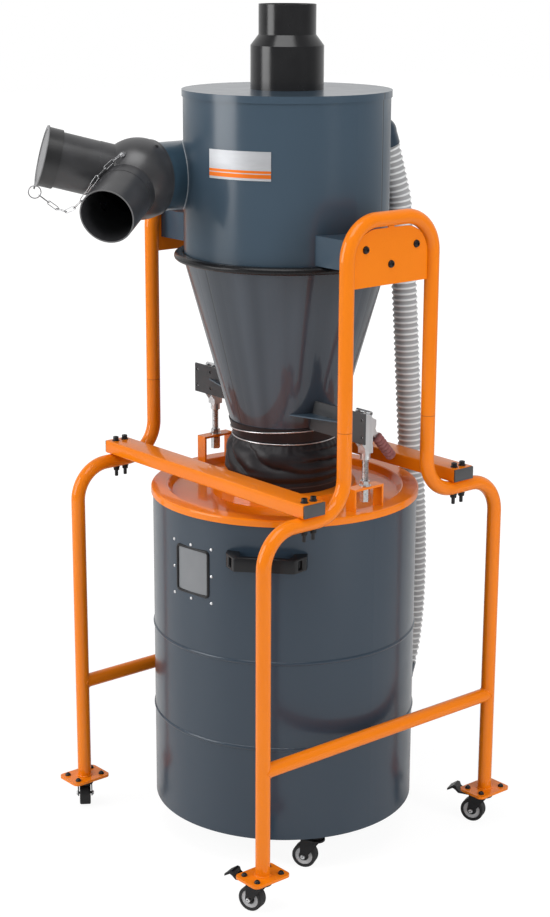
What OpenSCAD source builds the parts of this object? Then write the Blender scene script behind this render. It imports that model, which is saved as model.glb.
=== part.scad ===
// Mobile dust extraction unit: a cyclone separator over a dust drum, carried by
// a bent tube frame on castors. Millimetres, +Z up.
// The origin is on the floor under the cyclone's axis. +X runs from the left
// side frame to the right one, and the front is at -Y.

/* [Cyclone] */
// Outside diameter of the barrel
barrel_d = 455; // [440:1:460]
// Height of the cyclone's flat top above the floor
cyclone_top = 1724; // [1715:1:1760]
// Height of the joint between barrel and cone
cone_top = 1361; // [1358:1:1363]
// Outside diameter of the cone's upper edge
cone_d = 461; // [459:1:462]
// Outside diameter of the cone's neck
neck_d = 228; // [224:1:232]
// Height where the cone runs into its neck
neck_top = 945; // [940:1:950]
// Thickness of the sheet metal
sheet = 2; // [1.5:0.5:2.5]
// Depth of the lid's folded skirt
lid_skirt = 15; // [10:1:20]

/* [Outlet] */
// Diameter of the wide end on the lid
outlet_d = 160; // [158:1:166]
// Diameter of the spigot that takes the duct
spigot_d = 125; // [100:1:140]
// Height of the wide end
outlet_h = 93; // [80:1:110]
// Height of the taper between the two diameters
outlet_taper_h = 23; // [15:1:35]
// Height of the spigot
spigot_h = 64; // [50:1:90]

/* [Inlet] */
// Diameter of the tangential inlet pipe
inlet_d = 150; // [146:1:154]
// Height of the inlet's axis
inlet_z = 1536; // [1530:1:1545]
// Diameter of the two branches
branch_d = 120; // [110:1:124]
// Angle between the open branch and the inlet's axis
open_angle = 37; // [35:1:40]
// Angle between the capped branch and the inlet's axis
capped_angle = 32; // [30:1:36]
// Turn of the branched piece about the inlet's axis
branch_turn = 28; // [20:1:32]
// Length of the open branch from the fork
open_branch_l = 200; // [180:1:220]
// Length of the capped branch from the fork
capped_branch_l = 208; // [190:1:215]

/* [Drum] */
// Outside diameter of the drum
drum_d = 606; // [600:1:608]
// Height of the drum's upper rim
drum_top = 831; // [829:1:832]
// Heights of the two swaged beads
bead_heights = [301, 504];
// Height of the window's middle
window_z = 692; // [680:1:700]
// Width and height of the window's gasket
window_size = [100, 110];
// Direction of the window about the drum's axis
window_az = -83; // [-86:1:-80]
// Height of the grab handle's middle
grab_z = 742; // [735:1:748]
// Direction of the grab handle about the drum's axis
grab_az = -48; // [-50:1:-46]

/* [Frame] */
// Distance between the planes of the two side frames
frame_w = 670; // [668:1:690]
// Distance between the front and rear legs
leg_span = 690; // [680:1:720]
// Width of the arch between its tube axes
arch_w = 246; // [240:1:250]
// Diameter of the frame tube
tube_d = 32; // [30:1:34]
// Bend radius of the tube's axis
bend_r = 80; // [76:1:82]
// Height of the arch's crossing tube
arch_top = 1478; // [1474:1:1482]
// Height of the legs' level stretch
shoulder_z = 857; // [855:1:859]
// Height of the low side rails
rail_z = 327; // [250:1:400]
// Height of the joint between arch and legs
joint_z = 1037; // [1030:1:1060]
// Section of the cross beams, width and height
beam_section = [60, 30];
// Distance of each cross beam from the middle
beam_y = 222; // [220:1:226]
// Length of the cross beams with their end caps
beam_l = 710; // [706:1:720]

/* [Clamps] */
// Places of the left and the right toggle clamp across the unit
clamp_x = [-255, 269];
// How far each clamp sits below the left one
clamp_drop = [0, 15];
// Diameter of the clamp rods
rod_d = 14; // [12:1:15]
// Height of the left rod bracket above the lid's rim
bracket_h = 65; // [62:1:68]
// Height of the drum lid's rim
lid_rim_z = 834; // [833:0.5:834]

/* [Castors] */
// Height of a castor
castor_h = 82; // [82:1:84]
// Wheel diameter
wheel_d = 56; // [52:1:58]
// Wheel width
wheel_w = 26; // [22:1:28]
// Distance of the axle behind the swivel axis
trail = 26; // [22:1:28]

/* [Hidden] */
$fn = 96;

barrel_r = barrel_d / 2;
neck_r = neck_d / 2;
neck_bottom = neck_top - 40;
cone_r = cone_d / 2;
drum_r = drum_d / 2;
tube_r = tube_d / 2;
side_x = frame_w / 2;
leg_y = leg_span / 2;
arch_y = arch_w / 2;
plate_t = 4;
foot_t = 6;
foot_size = [75, 100];
foot_holes = [21.7, 33.5];
foot_top = castor_h + foot_t;

// Inlet: the pipe's outer side runs along the barrel's left side
inlet_r = inlet_d / 2;
branch_r = branch_d / 2;
inlet_x = -(barrel_r - inlet_r) + 2;
plastic = 3;
socket_y = -258;
fork_y = -295;
inlet_cut = 60;
ball_r = 89;
socket_r = 83;

// Clamp: places are in the plane of the left clamp; the right one is dropped as a whole
clamp_plate_y = -31;
clamp_plate_z = 1037;
clamp_pivot = [10, 1042];
bracket_t = 5;
bracket_half = 43;
bracket_w = 28;
bracket_top = lid_rim_z + bracket_h;
lid_floor_z = lid_rim_z - 14;
lid_centre_z = lid_rim_z + 8;

// Castors: swivel axis and rest direction of each one
leg_spots = [[-side_x, -leg_y], [side_x, -leg_y], [-side_x, leg_y], [side_x, leg_y]];
leg_trails = [145, 200, 215, 205];
drum_castor_r = 280;
drum_castor_az = [-25, 95, 215];
drum_trail_turn = 235;

// Balance hose: route at the back, as distance from the axis and height
hose_r = 30;
hose_az = 78;
hose_route = [
    [257.5, 1590], [264, 1571], [281, 1510], [294, 1456], [306, 1340], [316, 1221],
    [327, 1060], [338, 900], [345, 815], [352, 732], [357, 620], [357, 540],
    [355, 478], [350, 420], [343, 370], [335, 340]
];

steel_blue = [0.20, 0.25, 0.30];
orange = [0.93, 0.45, 0.08];
black = [0.08, 0.08, 0.09];
dark_grey = [0.25, 0.25, 0.27];
zinc = [0.72, 0.74, 0.76];

// Shared shapes

// Ring with a bore, standing on the plane z = 0
module ring(r_out, r_in, h) {
    difference() {
        cylinder(r = r_out, h = h);
        translate([0, 0, -1]) cylinder(r = r_in, h = h + 2);
    }
}

// Children once on each side of the middle
module both_sides() {
    children();
    mirror([1, 0, 0]) children();
}

// Outside of the cone and its neck as a solid body
module cone_body() {
    translate([0, 0, neck_top])
        cylinder(r1 = neck_r, r2 = cone_r, h = cone_top - neck_top);
    translate([0, 0, neck_bottom]) cylinder(r = neck_r, h = neck_top - neck_bottom);
}

// Quarter bend of the frame tube in the plane y-z, about the x axis
module tube_bend(from) {
    rotate([90, 0, 90])
        rotate_extrude(angle = 90, start = from)
            translate([bend_r, 0]) circle(r = tube_r);
}

// Upright stretch of the frame tube
module tube_up(y, z0, z1) {
    translate([0, y, z0]) cylinder(r = tube_r, h = z1 - z0);
}

// Level stretch of the frame tube along y
module tube_level(z, y0, y1) {
    translate([0, y0, z]) rotate([-90, 0, 0]) cylinder(r = tube_r, h = y1 - y0);
}

// Cyclone

// Rolled barrel, open at the inlet and at the hose port
module cyclone_barrel() {
    color(steel_blue) difference() {
        translate([0, 0, cone_top])
            ring(barrel_r, barrel_r - sheet, cyclone_top - sheet - cone_top);
        inlet_axis() translate([0, 0, inlet_cut]) cylinder(r = inlet_r - sheet, h = barrel_r);
        hose_port_axis(0) translate([0, 0, -sheet * 8]) cylinder(r = hose_r - 5, h = 60);
    }
}

// Flat lid with a folded skirt and the tube that reaches down into the barrel
module cyclone_lid() {
    vortex_r = outlet_d / 2 - 2;
    vortex_l = 270;
    skirt_r = barrel_r + 0.5;
    color(steel_blue) rotate_extrude() {
        translate([vortex_r - sheet, cyclone_top - sheet])
            square([skirt_r + sheet - vortex_r + sheet, sheet]);
        translate([skirt_r, cyclone_top - lid_skirt]) square([sheet, lid_skirt]);
        translate([vortex_r - sheet, cyclone_top - vortex_l]) square([sheet, vortex_l]);
    }
}

// Moulded reducer on the lid
module outlet_pipe() {
    wide = outlet_d / 2;
    slim = spigot_d / 2;
    z1 = cyclone_top + outlet_h;
    z2 = z1 + outlet_taper_h;
    z3 = z2 + spigot_h;
    color(black) rotate_extrude() polygon([
        [wide, cyclone_top], [wide, z1], [slim, z2], [slim, z3],
        [slim - plastic, z3], [slim - plastic, z2], [wide - plastic, z1],
        [wide - plastic, cyclone_top]
    ]);
}

// Frame of the inlet: local +Z runs forward along the pipe
module inlet_axis() {
    translate([inlet_x, 0, inlet_z]) rotate([90, 0, 0]) children();
}

// Tangential pipe welded to the barrel
module inlet_pipe() {
    pipe_end = 288;
    color(steel_blue) difference() {
        inlet_axis() ring(inlet_r, inlet_r - sheet, pipe_end);
        translate([0, 0, inlet_z - barrel_r]) cylinder(r = barrel_r, h = 2 * barrel_r);
    }
}

// Frame of one branch: local +Z runs out along it, side 1 is the open branch
module branch_axis(side) {
    translate([inlet_x, fork_y, inlet_z])
        rotate([0, branch_turn, 0]) rotate([0, 0, side > 0 ? open_angle : -capped_angle])
            rotate([90, 0, 0]) children();
}

// Moulded piece with two branches: a ball where the bores meet, pushed over the inlet pipe
module inlet_y_piece() {
    lengths = [capped_branch_l, open_branch_l];
    seat_l = 31;
    socket_l = socket_y - fork_y;
    ball_wall = 11;
    root_r = branch_r + 0.6;
    root_l = 96;
    color(black) difference() {
        union() {
            ball_axis() rotate_extrude() {
                half_disc(ball_r, socket_l - 4);
                square([socket_r, socket_l]);
            }
            for (i = [0, 1])
                branch_axis(2 * i - 1) rotate_extrude() polygon([
                    [0, 0], [root_r, 0], [root_r, root_l], [branch_r, root_l],
                    [branch_r, lengths[i]], [0, lengths[i]]
                ]);
        }
        ball_axis() rotate_extrude() {
            half_disc(ball_r - ball_wall, socket_l - seat_l + 4);
            translate([0, socket_l - seat_l]) square([inlet_r + 0.2, seat_l + 1]);
        }
        for (i = [0, 1])
            branch_axis(2 * i - 1) cylinder(r = branch_r - plastic, h = lengths[i] + 1);
    }
}

// Frame at the ball's middle: local +Z runs back along the inlet
module ball_axis() {
    translate([inlet_x, fork_y, inlet_z]) rotate([-90, 0, 0]) children();
}

// Right half of a disc, up to a height
module half_disc(r, top) {
    intersection() {
        circle(r = r);
        translate([0, -r - 1]) square([r + 1, r + 1 + top]);
    }
}

// Push-on cap with a lip and a drilled lug, over the end of the second branch
lug_az = 280;
lug_reach = 71;
module branch_cap() {
    skirt_l = 34;
    lip_t = 3;
    lip_r = branch_r + 7;
    face_z = capped_branch_l + 5;
    color(black) branch_axis(-1) difference() {
        union() {
            translate([0, 0, face_z - skirt_l]) cylinder(r = branch_r + 4, h = skirt_l);
            translate([0, 0, face_z - lip_t]) cylinder(r = lip_r, h = lip_t);
            rotate([0, 0, lug_az]) translate([lip_r - 6, -6, face_z - lip_t])
                cube([lug_reach - lip_r + 6, 12, lip_t]);
            rotate([0, 0, lug_az]) translate([lug_reach, 0, face_z - lip_t])
                cylinder(r = 6, h = lip_t, $fn = 32);
        }
        translate([0, 0, face_z - skirt_l - 1])
            cylinder(r = branch_r + 0.3, h = capped_branch_l - face_z + skirt_l + 1.3);
        translate([0, 0, face_z - 1.5]) cylinder(r = branch_r - 2, h = 2);
        rotate([0, 0, lug_az]) translate([lug_reach, 0, face_z - lip_t - 1])
            cylinder(r = 3, h = lip_t + 2, $fn = 32);
    }
}

// Safety chain of the cap: from a tab on the ball to a split ring in the cap's lug
link_wire = 0.9;
link_r = 4;
link_straight = 20;
link_pitch = 23.8;
split_ring_r = 13.5;
split_ring_wire = 1.2;
split_ring_at = [-273.1, -480.9, 1510.1];
split_ring_turn = 61.1;
chain_path = [
    [-119.9, -359.4, 1596.7], [-124.3, -372.4, 1586.2], [-128.6, -385.3, 1575.3],
    [-132.3, -398.6, 1563.8], [-138.3, -408.5, 1550.9], [-146.7, -415, 1537.1],
    [-157.4, -418, 1523.9], [-168.6, -420, 1510.8], [-179.9, -422.6, 1497.9],
    [-191.5, -427.3, 1485.9], [-204.4, -433.4, 1476], [-219.7, -439.5, 1470.8],
    [-236, -444.5, 1473], [-250, -450.7, 1481.1], [-260.7, -459.9, 1491.1],
    [-267.9, -471.6, 1501.8]
];

// Length of the path up to its point i
function chain_run(i) = i == 0 ? 0 : chain_run(i - 1) + norm(chain_path[i] - chain_path[i - 1]);

// Place at a length along the path
function chain_at(s, i = 1) =
    let (a = chain_run(i - 1), b = chain_run(i))
    s > b && i < len(chain_path) - 1
        ? chain_at(s, i + 1)
        : chain_path[i - 1] + (chain_path[i] - chain_path[i - 1]) * (s - a) / (b - a);

// One oval wire link, lying along local x
module chain_link() {
    for (end = [-1, 1])
        translate([end * link_straight / 2, 0, 0])
            rotate_extrude(angle = 180, start = -end * 90, $fn = 24)
                translate([link_r, 0]) circle(r = link_wire, $fn = 16);
    for (side = [-1, 1])
        translate([-link_straight / 2, side * link_r, 0]) rotate([0, 90, 0])
            cylinder(r = link_wire, h = link_straight, $fn = 16);
}

module cap_chain() {
    ring_grip = 11.4;
    full = chain_run(len(chain_path) - 1);
    links = floor((full - ring_grip - link_straight / 2) / link_pitch) + 1;
    ball = [inlet_x, fork_y, inlet_z];
    out = (chain_path[0] - ball) / norm(chain_path[0] - ball);
    color(zinc) {
        for (i = [0 : links - 1]) {
            s = full - ring_grip - i * link_pitch;
            d = chain_at(s + 10) - chain_at(s - 10);
            translate(chain_at(s)) rotate([0, -asin(d.z / norm(d)), atan2(d.y, d.x)])
                rotate([90 * (i % 2), 0, 0]) chain_link();
        }
        translate(split_ring_at) rotate([90, 0, split_ring_turn]) rotate_extrude($fn = 48)
            translate([split_ring_r, 0]) circle(r = split_ring_wire, $fn = 16);
        translate(ball + out * (ball_r + 0.3))
            rotate([0, acos(out.z), atan2(out.y, out.x)]) ring(8, 2.2, 1.6);
    }
}

// Clamping ring over the flanges of barrel and cone
module clamp_ring() {
    band_h = 16;
    reach = 10.7;
    color(black) translate([0, 0, cone_top - band_h / 2]) rotate_extrude() {
        translate([cone_r + 0.3, 0]) square([reach, band_h]);
        translate([cone_r + 0.3 + reach, band_h / 2]) circle(r = band_h / 2);
    }
}

// Sheet metal cone with a straight neck
module cone() {
    color(steel_blue) rotate_extrude() polygon([
        [cone_r, cone_top], [neck_r, neck_top], [neck_r, neck_bottom],
        [neck_r - sheet, neck_bottom], [neck_r - sheet, neck_top],
        [cone_r - sheet - 1, cone_top]
    ]);
}

// Clamps

// Frame of one clamp: number 0 is the left one, local x = 0 is its rod
module at_clamp(number) {
    translate([clamp_x[number], 0, -clamp_drop[number]]) children();
}

// Children at both clamps, with local +X turned away from the cone
module both_clamps() {
    at_clamp(0) mirror([1, 0, 0]) children();
    at_clamp(1) children();
}

// Gussets on the cone, before and behind each clamp plate
module cone_brackets() {
    arm_t = 3;
    inner = -170;
    gusset_z = clamp_plate_z + 2;
    color(steel_blue) difference() {
        both_clamps() translate([0, 0, gusset_z]) linear_extrude(arm_t) {
            polygon([[inner, -85], [-20, clamp_plate_y - plate_t], [inner, clamp_plate_y - plate_t]]);
            polygon([[inner, clamp_plate_y], [-34, clamp_plate_y], [-34, 10], [inner, 60]]);
        }
        cone_body();
    }
}

// Flat drilled plates, welded to the cone edge on, that carry the toggle clamps
module clamp_plates() {
    inner = -170;
    outer = 33;
    half = 34;
    hole_x = 24.5;
    hole_z = 19.5;
    color(dark_grey) difference() {
        both_clamps() translate([0, clamp_plate_y, clamp_plate_z]) rotate([90, 0, 0])
            difference() {
                translate([inner, -half, 0]) cube([outer - inner, 2 * half, plate_t]);
                for (x = [-1, 1])
                    for (z = [-1, 1])
                        translate([x * hole_x, z * hole_z, -1])
                            cylinder(r = 3.2, h = plate_t + 2, $fn = 24);
            }
        cone_body();
        translate([0, 0, sleeve_top - 10]) cylinder(r = cone_at(sleeve_top) + 2.6, h = 10.5);
    }
}

// Pressed clamp bodies: foot plate, two cheeks, the rod's guide, the pivot pin and a rolled eye
module toggle_bodies() {
    foot = [54, 3, 60];
    cheek_t = 2.5;
    cheek_x = 9;
    guide_z = 959.5;
    guide_top = 992;
    eye_at = [-6, 1066];
    color(zinc) both_clamps() {
        difference() {
            translate([-foot.x / 2, clamp_plate_y, clamp_plate_z - foot.z / 2]) cube(foot);
            for (x = [-24.5, 24.5])
                for (z = [-19.5, 19.5])
                    translate([x, clamp_plate_y - 1, clamp_plate_z + z]) rotate([-90, 0, 0])
                        cylinder(r = 3.2, h = foot.y + 2, $fn = 24);
        }
        for (x = [-cheek_x - cheek_t, cheek_x])
            translate([x, 0, 0]) rotate([90, 0, 90]) linear_extrude(cheek_t) polygon([
                [clamp_plate_y + 2, 1008], [-13, 986], [9, 978], [11, 1010], [20, 1034],
                [20, 1047], [8, 1053], [2, 1066], [-14, 1070], [clamp_plate_y + 2, 1064]
            ]);
        difference() {
            union() {
                translate([0, 0, guide_z]) cylinder(r = cheek_x + 2, h = guide_top - guide_z);
                translate([-cheek_x - cheek_t, -11.5, guide_top - 18])
                    cube([2 * (cheek_x + cheek_t), 23, 18]);
            }
            translate([0, 0, guide_z - 1]) cylinder(r = rod_d / 2 + 0.3, h = 60);
        }
        translate([-cheek_x - cheek_t, clamp_pivot[0], clamp_pivot[1]]) rotate([0, 90, 0])
            cylinder(r = 4, h = 2 * (cheek_x + cheek_t), $fn = 32);
        translate([-22, eye_at[0], eye_at[1]]) rotate([0, 90, 0]) ring(5.5, 2.8, 44);
    }
}

// Bent lever of a toggle clamp, in the plane x = 0
lever_elbow = [24, 1014];
grip_end = [79, 952];
module toggle_lever() {
    lever_t = 7;
    half = 6;
    translate([-lever_t / 2, 0, 0]) rotate([90, 0, 90]) linear_extrude(lever_t)
        difference() {
            union() {
                translate(clamp_pivot) circle(r = 9);
                lever_bar(clamp_pivot, lever_elbow, half);
                translate(lever_elbow) circle(r = half);
                lever_bar(lever_elbow, lever_elbow + [6, -6.75], half);
            }
            translate(clamp_pivot) circle(r = 4.05, $fn = 32);
        }
}

// Straight bar between two points of a plane
module lever_bar(a, b, half) {
    d = b - a;
    translate(a) rotate(atan2(d.y, d.x)) translate([0, -half]) square([norm(d), 2 * half]);
}

module toggle_handle_left() {
    color(zinc) at_clamp(0) toggle_lever();
}

module toggle_handle_right() {
    color(zinc) at_clamp(1) toggle_lever();
}

// Ribbed hand grip on the lever's end
module toggle_grip() {
    d = grip_end - lever_elbow;
    start = 9.2;
    lobes = 7;
    lobe_r = 6.2;
    pitch = (norm(d) - start - 2 * lobe_r) / (lobes - 1);
    translate([0, lever_elbow.x, lever_elbow.y]) rotate([atan2(d.y, d.x) - 90, 0, 0])
        translate([0, 0, start]) rotate_extrude($fn = 48) {
            square([lobe_r, norm(d) - start]);
            for (i = [0 : lobes - 1])
                translate([lobe_r, lobe_r + i * pitch]) circle(r = lobe_r, $fn = 24);
        }
}

module toggle_grip_left() {
    color("firebrick") at_clamp(0) toggle_grip();
}

module toggle_grip_right() {
    color("firebrick") at_clamp(1) toggle_grip();
}

// Threaded rods with a nut above the bracket and a long hexagon below it
module toggle_rods() {
    hex_r = 11;
    nut_h = 10;
    hex_l = 30;
    rod_top = 990;
    bar_bottom = bracket_top - bracket_t;
    color(zinc) both_clamps() {
        translate([0, 0, bar_bottom - hex_l]) cylinder(r = rod_d / 2, h = rod_top - bar_bottom + hex_l);
        translate([0, 0, bar_bottom - hex_l]) cylinder(r = hex_r, h = hex_l, $fn = 6);
        translate([0, 0, bracket_top]) cylinder(r = hex_r + 2, h = 2);
        translate([0, 0, bracket_top + 2]) cylinder(r = hex_r, h = nut_h, $fn = 6);
    }
}

// Flexible sleeve between the cone and the drum lid
sleeve_top = 990;
cloth = 1.6;
function cone_at(z) = neck_r + (cone_r - neck_r) * (z - neck_top) / (cone_top - neck_top);
module sleeve() {
    outer = [
        [cone_at(sleeve_top) + 0.5 + cloth, sleeve_top], [cone_at(956) + 0.5 + cloth, 956],
        [cone_at(956) + 3, 949], [132, 924], [134, 885], [131.5, 864], [129.6, lid_centre_z + 0.5]
    ];
    last = len(outer) - 1;
    color(black) rotate_extrude()
        polygon(concat(outer, [for (i = [last : -1 : 0]) outer[i] - [cloth, 0]]));
}

// Wire bands that hold the sleeve on the cone: the upper one sits askew
module sleeve_bands() {
    wire_r = 1.3;
    color(zinc) {
        translate([0, 0, 953]) rotate_extrude()
            translate([cone_at(956) + 2.6 + wire_r, 0]) circle(r = wire_r, $fn = 16);
        translate([2.8, 0, 975.5]) rotate([0, -4.2, 0]) rotate_extrude()
            translate([126.4, 0]) circle(r = wire_r, $fn = 16);
    }
}

// Drum

// Pressed lid: rim, recessed ring, raised middle and a collar round the opening
lid_step_r = 271;
lid_step = 13;
lid_raised_r = 162;
lid_slope = 8;
module drum_lid() {
    skirt_r = drum_r + 2;
    collar_r = 125;
    collar_top = lid_centre_z + 24;
    skirt_h = 16;
    t = sheet;
    color(orange) rotate_extrude() polygon([
        [collar_r, collar_top], [collar_r + t, collar_top], [collar_r + t, lid_centre_z],
        [lid_raised_r, lid_centre_z], [lid_raised_r + lid_slope, lid_floor_z],
        [lid_step_r - lid_step, lid_floor_z], [lid_step_r - 3, lid_rim_z - 1.5],
        [lid_step_r, lid_rim_z], [skirt_r - 4 + t, lid_rim_z], [skirt_r - 1.2 + t, lid_rim_z - 1.2],
        [skirt_r + t, lid_rim_z - 4], [skirt_r + t, lid_rim_z - skirt_h],
        [skirt_r, lid_rim_z - skirt_h], [skirt_r, lid_rim_z - 4], [skirt_r - 2, lid_rim_z - t],
        [lid_step_r + 1, lid_rim_z - t], [lid_step_r - lid_step + 1, lid_floor_z - t],
        [lid_raised_r + lid_slope - 1, lid_floor_z - t], [lid_raised_r - 1, lid_centre_z - t],
        [collar_r, lid_centre_z - t]
    ]);
}

// Space below the lid's rim and step, which trims what stands on it
module lid_ground() {
    rotate_extrude() polygon([
        [lid_raised_r, lid_floor_z - 10], [lid_raised_r, lid_floor_z],
        [lid_step_r - lid_step, lid_floor_z], [lid_step_r - 3, lid_rim_z - 1.5],
        [lid_step_r, lid_rim_z], [drum_r + 20, lid_rim_z], [drum_r + 20, lid_floor_z - 10]
    ]);
}

// Flat bar brackets on the lid's rim, which the clamp rods hold
module lid_brackets() {
    color(orange) difference() {
        both_clamps() difference() {
            translate([-bracket_w / 2, -bracket_half, bracket_top - 100])
                cube([bracket_w, 2 * bracket_half, 100]);
            translate([-bracket_w, -bracket_half + bracket_t, bracket_top - 101])
                cube([2 * bracket_w, 2 * (bracket_half - bracket_t), 101 - bracket_t]);
            translate([0, 0, bracket_top - 20]) cylinder(r = rod_d / 2 + 0.5, h = 30);
        }
        lid_ground();
        cylinder(r = drum_r + 20, h = lid_floor_z - 5);
    }
}

// Frame on the drum's wall: local +X points out of the drum, local z is up
module drum_wall(az, z) {
    rotate([0, 0, az]) translate([0, 0, z]) children();
}

// Prism with rounded corners through the drum's wall, at the window
module window_prism(size, corner) {
    drum_wall(window_az, window_z) translate([drum_r - 20, 0, 0]) rotate([90, 0, 90])
        linear_extrude(40) {
            square([size.x - 2 * corner, size.y], center = true);
            square([size.x, size.y - 2 * corner], center = true);
            for (x = [-1, 1])
                for (y = [-1, 1])
                    translate([x * (size.x / 2 - corner), y * (size.y / 2 - corner)])
                        circle(r = corner, $fn = 24);
        }
}

// Drum wall with two beads, the window's opening and the hose port's hole
module drum_shell() {
    bead_r = 5;
    bead_rise = 2.5;
    base_t = 3;
    color(steel_blue) difference() {
        rotate_extrude() {
            translate([drum_r - sheet, castor_h + base_t])
                square([sheet, drum_top - castor_h - base_t]);
            for (z = bead_heights)
                intersection() {
                    translate([drum_r + bead_rise - bead_r, z]) circle(r = bead_r);
                    translate([drum_r - sheet, z - bead_r]) square([10, 2 * bead_r]);
                }
        }
        window_prism(window_size - [12, 12], 4);
        hose_port_axis(1) translate([0, 0, -30]) cylinder(r = hose_r - 5, h = 60);
    }
}

// Flat drum bottom
module drum_base() {
    base_t = 3;
    color(steel_blue) translate([0, 0, castor_h]) cylinder(r = drum_r, h = base_t);
}

// Rubber gasket round the window
module window_gasket() {
    rise = 4;
    color(black) intersection() {
        difference() {
            window_prism(window_size, 8);
            window_prism(window_size - [20, 20], 5);
        }
        translate([0, 0, window_z - window_size.y]) ring(drum_r + rise, drum_r, 2 * window_size.y);
    }
}

// Clear pane in the window's opening
module window_pane() {
    color([0.6, 0.62, 0.64]) intersection() {
        window_prism(window_size - [12.4, 12.4], 4);
        translate([0, 0, window_z - window_size.y]) ring(drum_r, drum_r - sheet, 2 * window_size.y);
    }
}

// Moulded grab handle: a bow with slanted ends and a screw pocket in each end
module grab_handle() {
    foot_half = 88;
    bow_half = 66;
    reach = 40;
    bow_t = 13;
    height = 32;
    color(black) difference() {
        drum_wall(grab_az, grab_z - height / 2) translate([drum_r, 0, 0]) difference() {
            linear_extrude(height) difference() {
                polygon([
                    [-14, -foot_half], [8, -foot_half], [reach, -bow_half],
                    [reach, bow_half], [8, foot_half], [-14, foot_half]
                ]);
                polygon([
                    [-16, -foot_half + 26], [reach - bow_t, -bow_half + 12],
                    [reach - bow_t, bow_half - 12], [-16, foot_half - 26]
                ]);
            }
            for (end = [-1, 1])
                translate([(8 + reach) / 2, end * (foot_half + bow_half) / 2, height / 2])
                    rotate([0, 0, end * 56]) translate([-7, -6, -10]) cube([18, 12, 20]);
        }
        translate([0, 0, grab_z - 50]) cylinder(r = drum_r, h = 100);
    }
}

// Balance hose

// Frame at a port: end 0 is on the barrel, end 1 on the drum; local +Z points out
port_at = [[246.4, 1622], [325.5, 306]];
module hose_port_axis(end) {
    wall_r = end == 0 ? barrel_r : drum_r;
    rotate([0, 0, hose_az]) translate([wall_r, 0, port_at[end][1]]) rotate([0, 90, 0]) children();
}

// Elbows for the hose on barrel and drum
module hose_ports() {
    color(steel_blue) difference() {
        for (end = [0, 1])
            hose_elbow(port_at[end], hose_route[end == 0 ? 0 : len(hose_route) - 1]);
        cylinder(r = drum_r, h = lid_rim_z);
        for (z = bead_heights)
            translate([0, 0, z - 6]) cylinder(r = drum_r + 2.7, h = 12);
        translate([0, 0, cone_top]) cylinder(r = barrel_r, h = cyclone_top - cone_top);
    }
}

// Elbow out of a wall: a level stub, a proud ball at the bend and a cuff up to the hose's end
module hose_elbow(bend, stop) {
    d = stop - bend;
    r = hose_r + 1;
    rotate([0, 0, hose_az]) translate([bend[0], 0, bend[1]]) {
        sphere(r = r + 0.8);
        rotate([0, -90, 0]) cylinder(r = r, h = 60);
        rotate([0, 90 - atan2(d[1], d[0]), 0]) cylinder(r = r, h = norm(d) - 0.6);
    }
}

// Round tube swept along the points of a path in one upright plane
module swept_tube(path, r, sides) {
    last = len(path) - 1;
    rings = [
        for (i = [0 : last])
            let (d = path[min(i + 1, last)] - path[max(i - 1, 0)])
            let (n = [-d[1], d[0]] / norm(d))
            for (k = [0 : sides - 1])
                let (a = 360 * k / sides)
                [path[i][0] + r * cos(a) * n[0], r * sin(a), path[i][1] + r * cos(a) * n[1]]
    ];
    sides_faces = [
        for (i = [0 : last - 1])
            for (k = [0 : sides - 1])
                let (m = (k + 1) % sides)
                [i * sides + k, i * sides + m, (i + 1) * sides + m, (i + 1) * sides + k]
    ];
    start_face = [[for (k = [sides - 1 : -1 : 0]) k]];
    end_face = [[for (k = [0 : sides - 1]) last * sides + k]];
    polyhedron(rings, concat(sides_faces, start_face, end_face));
}

module balance_hose() {
    color([0.65, 0.66, 0.68]) rotate([0, 0, hose_az]) swept_tube(hose_route, hose_r, 12);
}

// Frame

// Arch of a side frame in the plane x = 0
module arch() {
    flat = arch_y - bend_r;
    for (side = [0, 1])
        mirror([0, side, 0]) {
            tube_up(arch_y, joint_z, arch_top - bend_r);
            translate([0, flat, arch_top - bend_r]) tube_bend(0);
        }
    tube_level(arch_top, -flat, flat);
}

module arch_left() {
    color(orange) translate([-side_x, 0, 0]) arch();
}

module arch_right() {
    color(orange) translate([side_x, 0, 0]) arch();
}

// Bolted plates in the arches, with a slit under the crossing tube
module arch_plates() {
    bottom = 1339;
    slit = 3;
    bridge = 16;
    half = arch_y - tube_r - 0.2;
    corner = bend_r - tube_r;
    top = arch_top - tube_r - slit;
    screw_y = 73;
    screw_z = [1418, 1418, 1382];
    color(orange) both_sides() translate([side_x - plate_t / 2, 0, 0]) rotate([90, 0, 90])
        difference() {
            linear_extrude(plate_t) {
                intersection() {
                    translate([-half, bottom]) square([2 * half, top - bottom]);
                    union() {
                        translate([-half, bottom]) square([2 * half, top - corner - bottom]);
                        translate([-half + corner, bottom]) square([2 * (half - corner), top - bottom]);
                        for (y = [-1, 1])
                            translate([y * (half - corner), top - corner]) circle(r = corner);
                    }
                }
                translate([-bridge / 2, top - 1]) square([bridge, slit + 0.8]);
            }
            for (i = [0 : 2])
                translate([(i - 0.5) * 2 * screw_y * (i < 2 ? 1 : 0), screw_z[i], -1])
                    cylinder(r = 4.5, h = plate_t + 2, $fn = 24);
        }
}

// Boxes on the barrel that the arch plates are screwed to
module mount_boxes() {
    half = 96;
    bottom = 1371;
    height = 64;
    color(steel_blue) both_sides() difference() {
        translate([0, -half, bottom]) cube([side_x - plate_t / 2, 2 * half, height]);
        translate([0, 0, bottom - 1]) cylinder(r = barrel_r, h = height + 2);
    }
}

// Bent leg in the plane x = 0, on the rear side
module leg() {
    tube_up(leg_y, foot_top, shoulder_z - bend_r);
    translate([0, leg_y - bend_r, shoulder_z - bend_r]) tube_bend(0);
    tube_level(shoulder_z, arch_y + bend_r, leg_y - bend_r);
    translate([0, arch_y + bend_r, shoulder_z + bend_r]) tube_bend(180);
    tube_up(arch_y, shoulder_z + bend_r, joint_z);
}

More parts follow.
